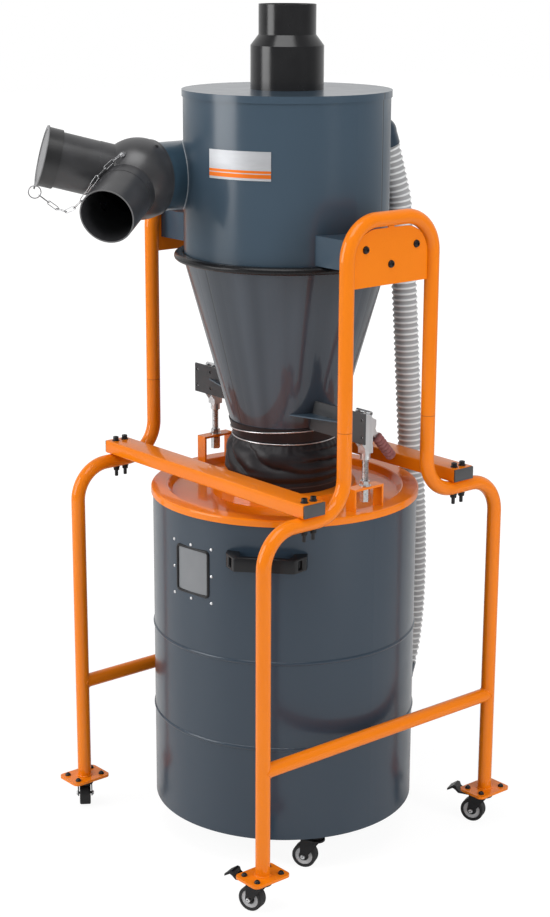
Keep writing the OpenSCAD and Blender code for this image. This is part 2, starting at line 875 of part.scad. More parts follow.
module leg_front_left() {
    color(orange) translate([-side_x, 0, 0]) mirror([0, 1, 0]) leg();
}

module leg_front_right() {
    color(orange) translate([side_x, 0, 0]) mirror([0, 1, 0]) leg();
}

module leg_rear_left() {
    color(orange) translate([-side_x, 0, 0]) leg();
}

module leg_rear_right() {
    color(orange) translate([side_x, 0, 0]) leg();
}

// Low rails between the legs of each side, coped onto them
module side_rails() {
    color(orange) both_sides() translate([side_x, 0, 0]) difference() {
        tube_level(rail_z, -leg_y, leg_y);
        for (y = [-leg_y, leg_y])
            tube_up(y, rail_z - tube_d, rail_z + tube_d);
    }
}

// Plates under the legs with rounded corners and four bolt holes each
module foot_plates() {
    corner = 12;
    in_x = foot_size.x / 2 - corner;
    in_y = foot_size.y / 2 - corner;
    color(orange) for (spot = leg_spots)
        translate([spot.x, spot.y, castor_h]) difference() {
            linear_extrude(foot_t) {
                square([2 * in_x, foot_size.y], center = true);
                square([foot_size.x, 2 * in_y], center = true);
                for (x = [-1, 1])
                    for (y = [-1, 1])
                        translate([x * in_x, y * in_y]) circle(r = corner, $fn = 32);
            }
            for (x = [-1, 1])
                for (y = [-1, 1])
                    translate([x * foot_holes.x, y * foot_holes.y, -1])
                        cylinder(r = 3.2, h = foot_t + 2, $fn = 24);
        }
}

// Rectangular beam along x on the legs' level stretches, just clear of their upper bends
cap_t = 4;
beam_z = shoulder_z + tube_r + 0.8;
module beam(y) {
    translate([-beam_l / 2 + cap_t, y - beam_section.x / 2, beam_z])
        cube([beam_l - 2 * cap_t, beam_section.x, beam_section.y]);
}

module beam_front() {
    color(orange) beam(-beam_y);
}

module beam_rear() {
    color(orange) beam(beam_y);
}

// Plastic caps in the beams' ends
module beam_caps() {
    color(dark_grey) both_sides() for (y = [-beam_y, beam_y])
        translate([beam_l / 2 - cap_t, y - beam_section.x / 2 + 1, beam_z + 1])
            cube([cap_t, beam_section.x - 2, beam_section.y - 2]);
}

// Castors: the swivel axis is local z, the wheel trails along local +X

fork_top = castor_h - 11;
pin_r = 4;
axle_r = 3;

// Swivel race with its rivet
module castor_race() {
    translate([0, 0, fork_top + 0.5]) cylinder(r1 = 15, r2 = 20, h = castor_h - fork_top - 3.5);
    translate([0, 0, castor_h - 3]) cylinder(r = 20, h = 3);
    translate([0, 0, fork_top - 8]) cylinder(r = pin_r, h = 12, $fn = 32);
}

// Fork with two legs, the axle, and the brake pedal over the wheel
module castor_fork(pedal) {
    leg_t = 2.5;
    leg_in = wheel_w / 2 + 2;
    crown_t = 4;
    crown_r = 20;
    axle_z = wheel_d / 2;
    difference() {
        union() {
            translate([0, 0, fork_top - crown_t]) cylinder(r = crown_r, h = crown_t);
            translate([0, -leg_in - leg_t, fork_top - crown_t])
                cube([trail + 4, 2 * (leg_in + leg_t), crown_t]);
            for (y = [-leg_in, leg_in + leg_t])
                translate([0, y, 0]) rotate([90, 0, 0]) linear_extrude(leg_t) {
                    polygon([
                        [-14, fork_top], [trail + 6, fork_top], [trail + 8, axle_z], [trail - 8, axle_z]
                    ]);
                    translate([trail, axle_z]) circle(r = 8);
                }
            translate([trail, leg_in + leg_t + 2, axle_z]) rotate([90, 0, 0])
                cylinder(r = axle_r, h = 2 * (leg_in + leg_t + 2), $fn = 32);
            if (pedal) brake_pedal(fork_top);
        }
        translate([0, 0, fork_top - crown_t - 1]) cylinder(r = pin_r + 0.05, h = crown_t + 2, $fn = 32);
    }
}

// Broad pedal that rises behind the foot plate and slopes down to its tip
module brake_pedal(z) {
    half = 15;
    translate([0, half, 0]) rotate([90, 0, 0]) linear_extrude(2 * half) polygon([
        [trail, z - 4], [trail, z], [55, z], [63, z + 5], [66, z + 13], [72, z + 14],
        [88, z + 3], [88, z - 2], [74, z + 6], [68, z + 3], [60, z - 4]
    ]);
}

// Wheel with a rounded tread and recessed hub faces
module castor_wheel() {
    hub_r = 21;
    recess = 2;
    edge = 3;
    r = wheel_d / 2;
    half = wheel_w / 2;
    translate([trail, 0, r]) rotate([90, 0, 0]) rotate_extrude() difference() {
        union() {
            translate([axle_r + 0.05, -half]) square([r - edge - axle_r, wheel_w]);
            translate([axle_r + 0.05, -half + edge]) square([r - axle_r - 0.05, wheel_w - 2 * edge]);
            for (y = [-1, 1])
                translate([r - edge, y * (half - edge)]) circle(r = edge, $fn = 24);
        }
        for (y = [-half - 1, half - recess])
            translate([9, y]) square([hub_r - 9, recess + 1]);
    }
}

// Places: one frame for each castor of the frame and of the drum
module leg_castor(i) {
    translate([leg_spots[i].x, leg_spots[i].y, 0]) rotate([0, 0, leg_trails[i]]) children();
}

module drum_castor(i) {
    rotate([0, 0, drum_castor_az[i]]) translate([drum_castor_r, 0, 0])
        rotate([0, 0, drum_trail_turn]) children();
}

module castor_heads() {
    head = [60, 84, 3];
    color(black) for (i = [0 : 3]) {
        leg_castor(i) castor_race();
        translate([leg_spots[i].x, leg_spots[i].y, castor_h - head.z]) difference() {
            translate([-head.x / 2, -head.y / 2, 0]) cube(head);
            for (x = [-1, 1])
                for (y = [-1, 1])
                    translate([x * foot_holes.x, y * foot_holes.y, -1])
                        cylinder(r = 3.2, h = 5, $fn = 24);
        }
    }
}

module castor_fork_front_left() {
    color(black) leg_castor(0) castor_fork(true);
}

module castor_fork_front_right() {
    color(black) leg_castor(1) castor_fork(true);
}

module castor_fork_rear_left() {
    color(black) leg_castor(2) castor_fork(true);
}

module castor_fork_rear_right() {
    color(black) leg_castor(3) castor_fork(true);
}

module castor_wheel_front_left() {
    color(dark_grey) leg_castor(0) castor_wheel();
}

module castor_wheel_front_right() {
    color(dark_grey) leg_castor(1) castor_wheel();
}

module castor_wheel_rear_left() {
    color(dark_grey) leg_castor(2) castor_wheel();
}

module castor_wheel_rear_right() {
    color(dark_grey) leg_castor(3) castor_wheel();
}

module drum_castor_heads() {
    color(black) for (i = [0 : 2])
        drum_castor(i) castor_race();
}

module drum_fork_a() {
    color(black) drum_castor(0) castor_fork(false);
}

module drum_fork_b() {
    color(black) drum_castor(1) castor_fork(false);
}

module drum_fork_c() {
    color(black) drum_castor(2) castor_fork(false);
}

module drum_wheel_a() {
    color(dark_grey) drum_castor(0) castor_wheel();
}

module drum_wheel_b() {
    color(dark_grey) drum_castor(1) castor_wheel();
}

module drum_wheel_c() {
    color(dark_grey) drum_castor(2) castor_wheel();
}

cyclone_barrel();
cyclone_lid();
outlet_pipe();
inlet_pipe();
inlet_y_piece();
branch_cap();
cap_chain();
clamp_ring();
cone();
cone_brackets();
clamp_plates();
toggle_bodies();
toggle_handle_left();
toggle_handle_right();
toggle_grip_left();
toggle_grip_right();
toggle_rods();
sleeve();
sleeve_bands();
drum_lid();
lid_brackets();
drum_shell();
drum_base();
window_gasket();
window_pane();
grab_handle();
hose_ports();
balance_hose();
arch_left();
arch_right();
arch_plates();
mount_boxes();
leg_front_left();
leg_front_right();
leg_rear_left();
leg_rear_right();
side_rails();
foot_plates();
beam_front();
beam_rear();
beam_caps();
castor_heads();
castor_fork_front_left();
castor_fork_front_right();
castor_fork_rear_left();
castor_fork_rear_right();
castor_wheel_front_left();
castor_wheel_front_right();
castor_wheel_rear_left();
castor_wheel_rear_right();
drum_castor_heads();
drum_fork_a();
drum_fork_b();
drum_fork_c();
drum_wheel_a();
drum_wheel_b();
drum_wheel_c();
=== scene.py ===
import math

import bpy
from mathutils import Matrix, Vector, noise


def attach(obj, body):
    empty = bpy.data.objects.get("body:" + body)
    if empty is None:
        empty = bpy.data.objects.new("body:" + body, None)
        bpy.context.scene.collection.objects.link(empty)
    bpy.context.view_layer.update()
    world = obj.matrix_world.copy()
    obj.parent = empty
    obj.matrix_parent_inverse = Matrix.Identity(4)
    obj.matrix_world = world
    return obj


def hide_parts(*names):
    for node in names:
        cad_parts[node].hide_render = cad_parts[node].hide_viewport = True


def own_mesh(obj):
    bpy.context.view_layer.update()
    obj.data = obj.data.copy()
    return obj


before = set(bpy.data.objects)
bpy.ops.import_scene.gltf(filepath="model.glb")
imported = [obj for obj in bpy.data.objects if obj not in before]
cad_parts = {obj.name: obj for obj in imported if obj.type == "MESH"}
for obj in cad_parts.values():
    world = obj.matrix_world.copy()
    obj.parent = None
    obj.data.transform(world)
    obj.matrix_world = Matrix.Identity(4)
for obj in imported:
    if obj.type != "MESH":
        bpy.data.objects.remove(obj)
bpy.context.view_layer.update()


# View: a long lens stands to the right of the front, a little above the unit,
# and looks down on it. The frame is 550 x 917 pixels.
photo_height = 917
focal_px = 1897.42
turn, dip, roll = math.radians(49.587), math.radians(15.097), math.radians(0.243)
lens = bpy.data.cameras.new("view")
lens.lens = focal_px * lens.sensor_width / photo_height
lens.clip_end = 60
camera = bpy.data.objects.new("view", lens)
bpy.context.collection.objects.link(camera)
camera.matrix_world = (
    Matrix.Translation((3.1834, -2.7405, 2.0226))
    @ Matrix.Rotation(turn, 4, "Z")
    @ Matrix.Rotation(math.pi / 2 - dip, 4, "X")
    @ Matrix.Rotation(roll, 4, "Z")
)
bpy.context.scene.camera = camera
bpy.context.scene.view_settings.view_transform = "Standard"


# Studio: a plain pale floor in a white room. Soft boxes stand in front, at both
# sides and overhead. Only the front and top ones are mirrored in the gloss.
class Sock:
    """An output of a shader node. Sums and products of it add Math nodes."""

    def __init__(self, tree, out):
        self.tree = tree
        self.out = out

    def node(self, kind, inputs, settings=None, output=0):
        """Adds a node, sets its settings, then the values or links of its inputs."""
        added = self.tree.nodes.new("ShaderNode" + kind)
        for key, value in (settings or {}).items():
            setattr(added, key, value)
        for key, value in inputs.items():
            self.feed(added.inputs[key], value)
        return Sock(self.tree, added.outputs[output])

    def feed(self, socket, value):
        if isinstance(value, Sock):
            self.tree.links.new(value.out, socket)
        else:
            socket.default_value = value

    def maths(self, operation, first, second=0.0):
        return self.node("Math", {0: first, 1: second}, {"operation": operation})

    def __add__(self, other):
        return self.maths("ADD", self, other)

    def __sub__(self, other):
        return self.maths("SUBTRACT", self, other)

    def __rsub__(self, other):
        return self.maths("SUBTRACT", other, self)

    def __mul__(self, other):
        return self.maths("MULTIPLY", self, other)

    def __truediv__(self, other):
        return self.maths("DIVIDE", self, other)

    def __pow__(self, other):
        return self.maths("POWER", self, other)

    def __abs__(self):
        return self.maths("ABSOLUTE", self)

    __radd__ = __add__
    __rmul__ = __mul__

    def ramp(self, low, high):
        """0 at low, 1 at high, smooth between them."""
        return self.node(
            "MapRange", {0: self, 1: low, 2: high}, {"interpolation_type": "SMOOTHSTEP"}
        )

    def tint(self, first, second):
        """Mixes two colours by this value."""
        first, second = (
            value if isinstance(value, Sock) else (*value, 1) for value in (first, second)
        )
        return self.node(
            "Mix", {0: self, 6: first, 7: second}, {"data_type": "RGBA"}, output=2
        )

    def axis(self, name):
        return self.node("SeparateXYZ", {0: self}, output="XYZ".index(name))

    def bearing(self):
        """Angle about the z axis, in radians."""
        return self.maths("ARCTAN2", self.axis("Y"), self.axis("X"))

    def from_axis(self, centre, along):
        """Distance from the line through a centre, along a direction of length 1."""
        arm = self.node("VectorMath", {0: self, 1: centre}, {"operation": "SUBTRACT"})
        across = self.node(
            "VectorMath", {0: arm, 1: along}, {"operation": "CROSS_PRODUCT"}
        )
        return self.node(
            "VectorMath", {0: across}, {"operation": "LENGTH"}, output="Value"
        )

    def cloud(self, scale, detail=3.0, stretch=(1, 1, 1)):
        """Soft noise over the piece, with its coordinates stretched first."""
        spread = self.node("Mapping", {"Vector": self, "Scale": stretch})
        return self.node("TexNoise", {"Vector": spread, "Scale": scale, "Detail": detail})

    def bump(self, height, distance, strength=1.0, under=None):
        inputs = {"Height": height, "Distance": distance, "Strength": strength}
        if under:
            inputs["Normal"] = under
        return self.node("Bump", inputs)


def surface(name, **plain):
    """A new material, its shader's inputs, and the object coordinates to build on."""
    material = bpy.data.materials.new(name)
    material.use_nodes = True
    tree = material.node_tree
    shader = tree.nodes["Principled BSDF"]
    for socket, value in plain.items():
        shader.inputs[socket.replace("_", " ")].default_value = value
    where = tree.nodes.new("ShaderNodeTexCoord")
    return material, shader.inputs, Sock(tree, where.outputs["Object"])


def deselect():
    bpy.ops.object.select_all(action="DESELECT")


deselect()
bpy.ops.mesh.primitive_plane_add(size=40)
floor = bpy.context.object
floor.name = "floor"
floor_paint, floor_shader, spot = surface("white_floor", Roughness=0.6)
spot.feed(floor_shader["Base Color"], spot.cloud(3.0).tint((0.78, 0.78, 0.78), (0.8, 0.8, 0.8)))
floor_tree = floor_paint.node_tree
seen = floor_tree.nodes.new("ShaderNodeLightPath")
glow = floor_tree.nodes.new("ShaderNodeEmission")
glow.inputs["Color"].default_value = (1, 1, 1, 1)
glow.inputs["Strength"].default_value = 1.1
lift = floor_tree.nodes.new("ShaderNodeMixShader")
away = spot.from_axis((0, 0, 0), (0, 0, 1)).ramp(0.8, 2.6)
floor_seen = Sock(floor_tree, seen.outputs["Is Camera Ray"])
spot.feed(lift.inputs["Fac"], (0.84 + 0.16 * away) * floor_seen)
floor_tree.links.new(floor_tree.nodes["Principled BSDF"].outputs[0], lift.inputs[1])
floor_tree.links.new(glow.outputs[0], lift.inputs[2])
floor_tree.links.new(lift.outputs[0], floor_tree.nodes["Material Output"].inputs["Surface"])
floor.data.materials.append(floor_paint)

world = bpy.data.worlds.new("white_room")
bpy.context.scene.world = world
world.use_nodes = True
room = world.node_tree
ray = room.nodes.new("ShaderNodeLightPath")
camera_ray = Sock(room, ray.outputs["Is Camera Ray"])
glossy_ray = Sock(room, ray.outputs["Is Glossy Ray"])
clear_ray = Sock(room, ray.outputs["Is Transmission Ray"])
direct = camera_ray.maths("MAXIMUM", camera_ray, clear_ray)
ambient = 0.42
sky = room.nodes.new("ShaderNodeTexCoord")
outlook = Sock(room, sky.outputs["Generated"])
behind_unit = (-0.758, 0.652, 0)
backdrop = outlook.node(
    "VectorMath", {0: outlook, 1: behind_unit}, {"operation": "DOT_PRODUCT"}, output="Value"
).ramp(-0.1, 0.6)
strength = ambient + direct * (1 - ambient) + glossy_ray * (0.5 * backdrop - 0.17)
camera_ray.feed(room.nodes["Background"].inputs["Strength"], strength)
room.nodes["Background"].inputs["Color"].default_value = (1, 1, 1, 1)


def soft_box(name, place, aim, size, power, mirrored=True):
    """A soft area light. One that is not mirrored leaves no bar on the gloss."""
    light = bpy.data.lights.new(name, "AREA")
    light.shape = "RECTANGLE"
    light.size, light.size_y = size
    light.energy = power
    lamp = bpy.data.objects.new(name, light)
    bpy.context.collection.objects.link(lamp)
    lamp.location = place
    lamp.visible_glossy = mirrored
    lamp.rotation_euler = (Vector(aim) - Vector(place)).to_track_quat("-Z", "Y").to_euler()


soft_box("key_box", (-1.6, -4.2, 2.4), (0, 0, 1.0), (2.4, 3.2), 120)
soft_box("side_box", (4.4, 0.8, 2.0), (0, 0, 0.9), (1.2, 3.0), 100, False)
soft_box("top_box", (0.8, -1.4, 4.6), (0, 0, 0.8), (2.6, 2.6), 72)
soft_box("left_box", (-4.2, -2.0, 2.0), (0, 0, 1.0), (1.0, 3.0), 40, False)


# Frame tubes: bent steel tube of 32 mm, welded and powder coated in a glossy
# orange with a fine orange peel. Each arch stands on its legs at a plain joint.
def dress(material, *nodes):
    for name in nodes:
        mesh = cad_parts[name].data
        mesh.materials.clear()
        mesh.materials.append(material)


joint_z = 1.037


def orange_gloss(name):
    """Orange powder coat, with a dark line where an arch meets its legs."""
    material, shader, spot = surface(
        name, Coat_Roughness=0.06, IOR=1.45, Specular_IOR_Level=0.1
    )
    drift = spot.cloud(5.0, 4.0)
    speck = spot.cloud(900.0, 2.0).ramp(0.66, 0.72)
    groove = abs(spot.axis("Z") - joint_z).ramp(0.0009, 0.0004)
    tone = drift.tint((0.76, 0.178, 0.003), (0.84, 0.214, 0.004))
    marks = spot.maths("MAXIMUM", 0.3 * speck, 0.8 * groove)
    spot.feed(shader["Base Color"], marks.tint(tone, (0.36, 0.06, 0.004)))
    spot.feed(shader["Roughness"], 0.26 + 0.12 * spot.cloud(40.0, 4.0))
    spot.feed(shader["Coat Weight"], 0.4 + 0.25 * drift)
    peel = spot.bump(spot.cloud(620.0, 2.0), 0.00025, 0.2)
    spot.feed(shader["Normal"], spot.bump(1 - groove, 0.0006, 0.8, peel))
    return material


frame_orange = orange_gloss("frame_orange")
dress(
    frame_orange, "arch_left", "arch_right", "arch_plates", "leg_front_left",
    "leg_front_right", "leg_rear_left", "leg_rear_right", "side_rails", "foot_plates",
)


def guide_curve(name, line, cyclic=False):
    """A plain curve along the points, for a piece to follow."""
    curve = bpy.data.curves.new(name, "CURVE")
    curve.dimensions = "3D"
    spline = curve.splines.new("POLY")
    spline.points.add(len(line) - 1)
    for point, place in zip(spline.points, line):
        point.co = (*place, 1)
    spline.use_cyclic_u = cyclic
    guide = bpy.data.objects.new(name, curve)
    bpy.context.collection.objects.link(guide)
    return guide


def take(piece):
    """Makes a piece the only selected and the active one."""
    deselect()
    bpy.context.view_layer.objects.active = piece
    piece.select_set(True)


def smooth(piece, angle=40):
    take(piece)
    bpy.ops.object.shade_smooth_by_angle(angle=math.radians(angle))


def fit_out(piece, name, material, body):
    """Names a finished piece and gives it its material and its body."""
    piece.name = name
    piece.data.materials.clear()
    piece.data.materials.append(material)
    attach(piece, body)
    return piece


def bead(line, radius, cyclic=False):
    """A lumpy weld bead along the points."""
    guide = guide_curve("bead", line, cyclic)
    guide.data.bevel_depth = radius
    guide.data.bevel_resolution = 3
    guide.data.use_fill_caps = True
    take(guide)
    bpy.ops.object.convert(target="MESH")
    piece = bpy.context.object
    for vertex in piece.data.vertices:
        ripple = noise.noise(vertex.co * 420)
        vertex.co += vertex.normal * radius * 0.35 * ripple
    smooth(piece, 60)
    return piece


def join(pieces):
    """Joins several objects into the first one."""
    take(pieces[0])
    for piece in pieces:
        piece.select_set(True)
    bpy.ops.object.join()
    return pieces[0]


tube_r = 0.016
side_x, leg_y, rail_z = 0.335, 0.345, 0.327
foot_top = 0.088
foot_weld_r = 0.0166
turns = [2 * math.pi * k / 48 for k in range(48)]
rail_welds, foot_welds = [], []
for side in (-1, 1):
    for end in (-1, 1):
        rail_ring = [
            Vector((
                side * side_x + tube_r * math.sin(a),
                end * (leg_y - tube_r * abs(math.cos(a)) - 0.0008),
                rail_z + tube_r * math.cos(a),
            ))
            for a in turns
        ]
        foot_ring = [
            Vector((
                side * side_x + foot_weld_r * math.cos(a),
                end * leg_y + foot_weld_r * math.sin(a),
                foot_top + 0.0006,
            ))
            for a in turns
        ]
        rail_welds.append(bead(rail_ring, 0.0016, True))
        foot_welds.append(bead(foot_ring, 0.002, True))
fit_out(join(rail_welds), "rail_welds", frame_orange, "frame")
fit_out(join(foot_welds), "foot_welds", frame_orange, "frame")


# Cross beams: box section of 60 x 30 mm with rounded corners, painted like the
# frame and closed with dark plastic plugs. They lie across the legs' shoulders.
def use_modifier(piece, kind, **settings):
    """Adds a modifier to a piece and applies it."""
    modifier = piece.modifiers.new(kind.lower(), kind)
    for key, value in settings.items():
        setattr(modifier, key, value)
    take(piece)
    bpy.ops.object.modifier_apply(modifier=modifier.name)


def node_copy(node):
    """A loose copy of a CAD node, its triangles merged back to flat faces."""
    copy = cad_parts[node].copy()
    copy.data = copy.data.copy()
    copy.parent = None
    for key in list(copy.keys()):
        del copy[key]
    bpy.context.collection.objects.link(copy)
    take(copy)
    bpy.ops.object.mode_set(mode="EDIT")
    bpy.ops.mesh.select_all(action="SELECT")
    bpy.ops.mesh.customdata_custom_splitnormals_clear()
    bpy.ops.mesh.remove_doubles(threshold=0.00002)
    bpy.ops.mesh.dissolve_limited(angle_limit=math.radians(0.4))
    bpy.ops.object.mode_set(mode="OBJECT")
    return copy


def round_edges(piece, wanted, width, segments):
    """Bevels the edges whose two ends pass a test."""
    take(piece)
    bpy.ops.object.mode_set(mode="EDIT")
    bpy.ops.mesh.select_mode(type="EDGE")
    bpy.ops.mesh.select_all(action="DESELECT")
    bpy.ops.object.mode_set(mode="OBJECT")
    corners = piece.data.vertices
    for edge in piece.data.edges:
        edge.select = wanted(corners[edge.vertices[0]].co, corners[edge.vertices[1]].co)
    bpy.ops.object.mode_set(mode="EDIT")
    bpy.ops.mesh.bevel(offset=width, segments=segments, affect="EDGES")
    bpy.ops.object.mode_set(mode="OBJECT")


for beam in ("beam_front", "beam_rear"):
    tube = node_copy(beam)
    round_edges(tube, lambda a, b: abs(a.x - b.x) > 0.5, 0.0035, 4)
    smooth(tube, 30)
    fit_out(tube, beam + "_tube", frame_orange, "frame")
    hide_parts(beam)


def black_moulding(name, deep, light, rough, grain=520.0, shine=0.5):
    """Satin black or grey plastic or enamel with a mottled sheen."""
    material, shader, spot = surface(name, IOR=1.48, Specular_IOR_Level=shine)
    mottle = spot.cloud(22.0, 5.0)
    spot.feed(shader["Base Color"], mottle.tint(deep, light))
    spot.feed(shader["Roughness"], rough + 0.16 * mottle)
    spot.feed(shader["Normal"], spot.bump(spot.cloud(grain, 3.0), 0.0003, 0.25))
    return material


plug_grey = black_moulding("plug_grey", (0.055, 0.055, 0.058), (0.075, 0.075, 0.078), 0.42)
plugs = node_copy("beam_caps")
use_modifier(plugs, "BEVEL", width=0.0012, segments=2)
smooth(plugs, 30)
fit_out(plugs, "beam_plugs", plug_grey, "frame")
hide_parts("beam_caps")


# Frame bolts: black socket head bolts go down through beam and shoulder tube into
# nuts, dome heads hold the castors, and button heads hold the arch plates.
def turned(rings, sides=24):
    """A closed turned solid on the z axis, drawn ring by ring as radius and height."""
    deselect()
    radius, height = rings[0]
    bpy.ops.mesh.primitive_circle_add(vertices=sides, radius=radius, fill_type="NGON")
    piece = bpy.context.object
    bpy.ops.object.mode_set(mode="EDIT")
    bpy.ops.mesh.select_all(action="SELECT")
    bpy.ops.transform.translate(value=(0, 0, height))
    for next_radius, next_height in rings[1:]:
        bpy.ops.mesh.extrude_region_move(
            TRANSFORM_OT_translate={"value": (0, 0, next_height - height)}
        )
        share = next_radius / radius
        bpy.ops.transform.resize(value=(share, share, 1), center_override=(0, 0, 0))
        radius, height = next_radius, next_height
    bpy.ops.mesh.select_all(action="SELECT")
    bpy.ops.mesh.normals_make_consistent(inside=False)
    bpy.ops.object.mode_set(mode="OBJECT")
    smooth(piece, 35)
    return piece


def facing(place, direction):
    """A frame at a place, its z axis along a direction."""
    turned_to = Vector(direction).to_track_quat("Z", "Y").to_matrix().to_4x4()
    return Matrix.Translation(place) @ turned_to


def copies(piece, places):
    """Copies of a piece at the given frames, joined into one object."""
    made = []
    for place in places:
        copy = piece.copy()
        copy.data = piece.data.copy()
        copy.data.transform(place)
        bpy.context.collection.objects.link(copy)
        made.append(copy)
    return join(made)


def set_in(piece, places, name, material, body):
    """Sets copies of a piece in place and does away with the pattern."""
    fit_out(copies(piece, places), name, material, body)
    bpy.data.objects.remove(piece)


black_steel = black_moulding(
    "black_steel", (0.009, 0.009, 0.010), (0.018, 0.018, 0.019), 0.22, 900.0, 0.35
)
beam_top, tube_under = 0.9038, 0.841
beam_y, bolt_step = 0.222, 0.0125
beam_bolt = join([
    turned([(0.0086, beam_top - 0.0005), (0.0086, beam_top + 0.0012), (0.0082, beam_top + 0.0016)]),
    turned([
        (0.0065, beam_top), (0.0065, beam_top + 0.0092), (0.0061, beam_top + 0.0098),
        (0.0036, beam_top + 0.0098), (0.0034, beam_top + 0.0050),
    ]),
    turned([(0.0082, tube_under + 0.003), (0.0082, tube_under - 0.0016)]),
    turned([
        (0.0066, tube_under), (0.0075, tube_under - 0.0022), (0.0075, tube_under - 0.0072),
        (0.0066, tube_under - 0.0082),
    ], 6),
    turned([
        (0.0041, tube_under), (0.0041, tube_under - 0.0215), (0.0033, tube_under - 0.0226),
    ]),
])
set_in(
    beam_bolt,
    [
        Matrix.Translation((side * side_x, end * beam_y + step, 0))
        for side in (-1, 1) for end in (-1, 1) for step in (-bolt_step, bolt_step)
    ],
    "beam_bolts", black_steel, "frame",
)
foot_bolt = turned([
    (0.0068, -0.0003), (0.0068, 0.0012), (0.0062, 0.0032), (0.0048, 0.0052), (0.0026, 0.0066),
    (0.0021, 0.0066), (0.0020, 0.0048),
])
hole_x, hole_y = 0.0217, 0.0335
set_in(
    foot_bolt,
    [
        Matrix.Translation((side * side_x + x, end * leg_y + y, foot_top))
        for side in (-1, 1) for end in (-1, 1)
        for x in (-hole_x, hole_x) for y in (-hole_y, hole_y)
    ],
    "foot_bolts", black_steel, "frame",
)
arch_screw = turned([
    (0.0084, -0.0004), (0.0084, 0.0012), (0.0076, 0.0034), (0.0058, 0.0052), (0.0032, 0.0060),
    (0.0030, 0.0034),
])
plate_face = 0.337
screw_holes = ((-0.073, 1.418), (0.073, 1.418), (0, 1.382))
set_in(
    arch_screw,
    [
        facing((side * plate_face, y, z), (side, 0, 0))
        for side in (-1, 1) for y, z in screw_holes
    ],
    "arch_screws", black_steel, "frame",
)


# Castors: pressed steel forks in black enamel, those of the frame with a brake
# pedal, and black rubber wheels with a light grey hub ring. Each wheel turns on a
# bright axle bolt.
black_enamel = black_moulding(
    "black_enamel", (0.006, 0.006, 0.007), (0.012, 0.012, 0.013), 0.18, shine=0.3
)
dress(black_enamel, "castor_heads", "drum_castor_heads")


def wheel_rubber(name, centre, axle):
    material, shader, spot = surface(name, IOR=1.46)
    radius = spot.from_axis(centre, axle)
    ring = radius.ramp(0.0112, 0.0122) * radius.ramp(0.0209, 0.0201)
    scuff = spot.cloud(160.0, 4.0)
    tyre = scuff.tint((0.006, 0.006, 0.007), (0.020, 0.020, 0.021))
    hub = scuff.tint((0.42, 0.42, 0.43), (0.56, 0.56, 0.57))
    spot.feed(shader["Base Color"], ring.tint(tyre, hub))
    spot.feed(shader["Roughness"], 0.42 + 0.22 * scuff)
    spot.feed(shader["Normal"], spot.bump(spot.cloud(600.0), 0.0003, 0.3))
    return material


def bright_metal(name, deep, light, rough):
    """Bright zinc plate with fine brushed streaks."""
    material, shader, spot = surface(name, Metallic=1.0)
    streak = spot.cloud(160.0, 4.0, (1, 1, 0.1))
    cloud = spot.cloud(45.0, 4.0)
    spot.feed(shader["Base Color"], (0.6 * streak + 0.4 * cloud).tint(deep, light))
    spot.feed(shader["Roughness"], rough + 0.2 * cloud)
    spot.feed(shader["Normal"], spot.bump(streak, 0.0002, 0.3))
    return material


zinc = bright_metal("bright_zinc", (0.58, 0.59, 0.60), (0.90, 0.91, 0.92), 0.24)
castors = {
    "castor_{}_front_left": (-side_x, -leg_y, 145),
    "castor_{}_front_right": (side_x, -leg_y, 200),
    "castor_{}_rear_left": (-side_x, leg_y, 215),
    "castor_{}_rear_right": (side_x, leg_y, 205),
}
drum_castor_r, drum_castor_turn = 0.28, 235
for letter, bearing in (("a", -25), ("b", 95), ("c", 215)):
    out = math.radians(bearing)
    castors["drum_{}_" + letter] = (
        drum_castor_r * math.cos(out), drum_castor_r * math.sin(out), bearing + drum_castor_turn,
    )
trail, wheel_r, fork_half = 0.026, 0.028, 0.0175
axle_bolt = turned([
    (0.0056, -0.0004), (0.0056, 0.0016), (0.0046, 0.0032), (0.0022, 0.0038), (0.0018, 0.0020),
])
for pattern, (x, y, heading) in castors.items():
    heading = math.radians(heading)
    centre = Vector((x + trail * math.cos(heading), y + trail * math.sin(heading), wheel_r))
    axle = Vector((-math.sin(heading), math.cos(heading), 0))
    fork, wheel = pattern.format("fork"), pattern.format("wheel")
    dress(black_enamel, fork)
    dress(wheel_rubber(wheel + "_rubber", centre, axle), wheel)
    ends = [facing(centre + s * fork_half * axle, s * axle) for s in (-1, 1)]
    heads = copies(axle_bolt, ends)
    fit_out(heads, fork + "_bolt", zinc, fork)
bpy.data.objects.remove(axle_bolt)


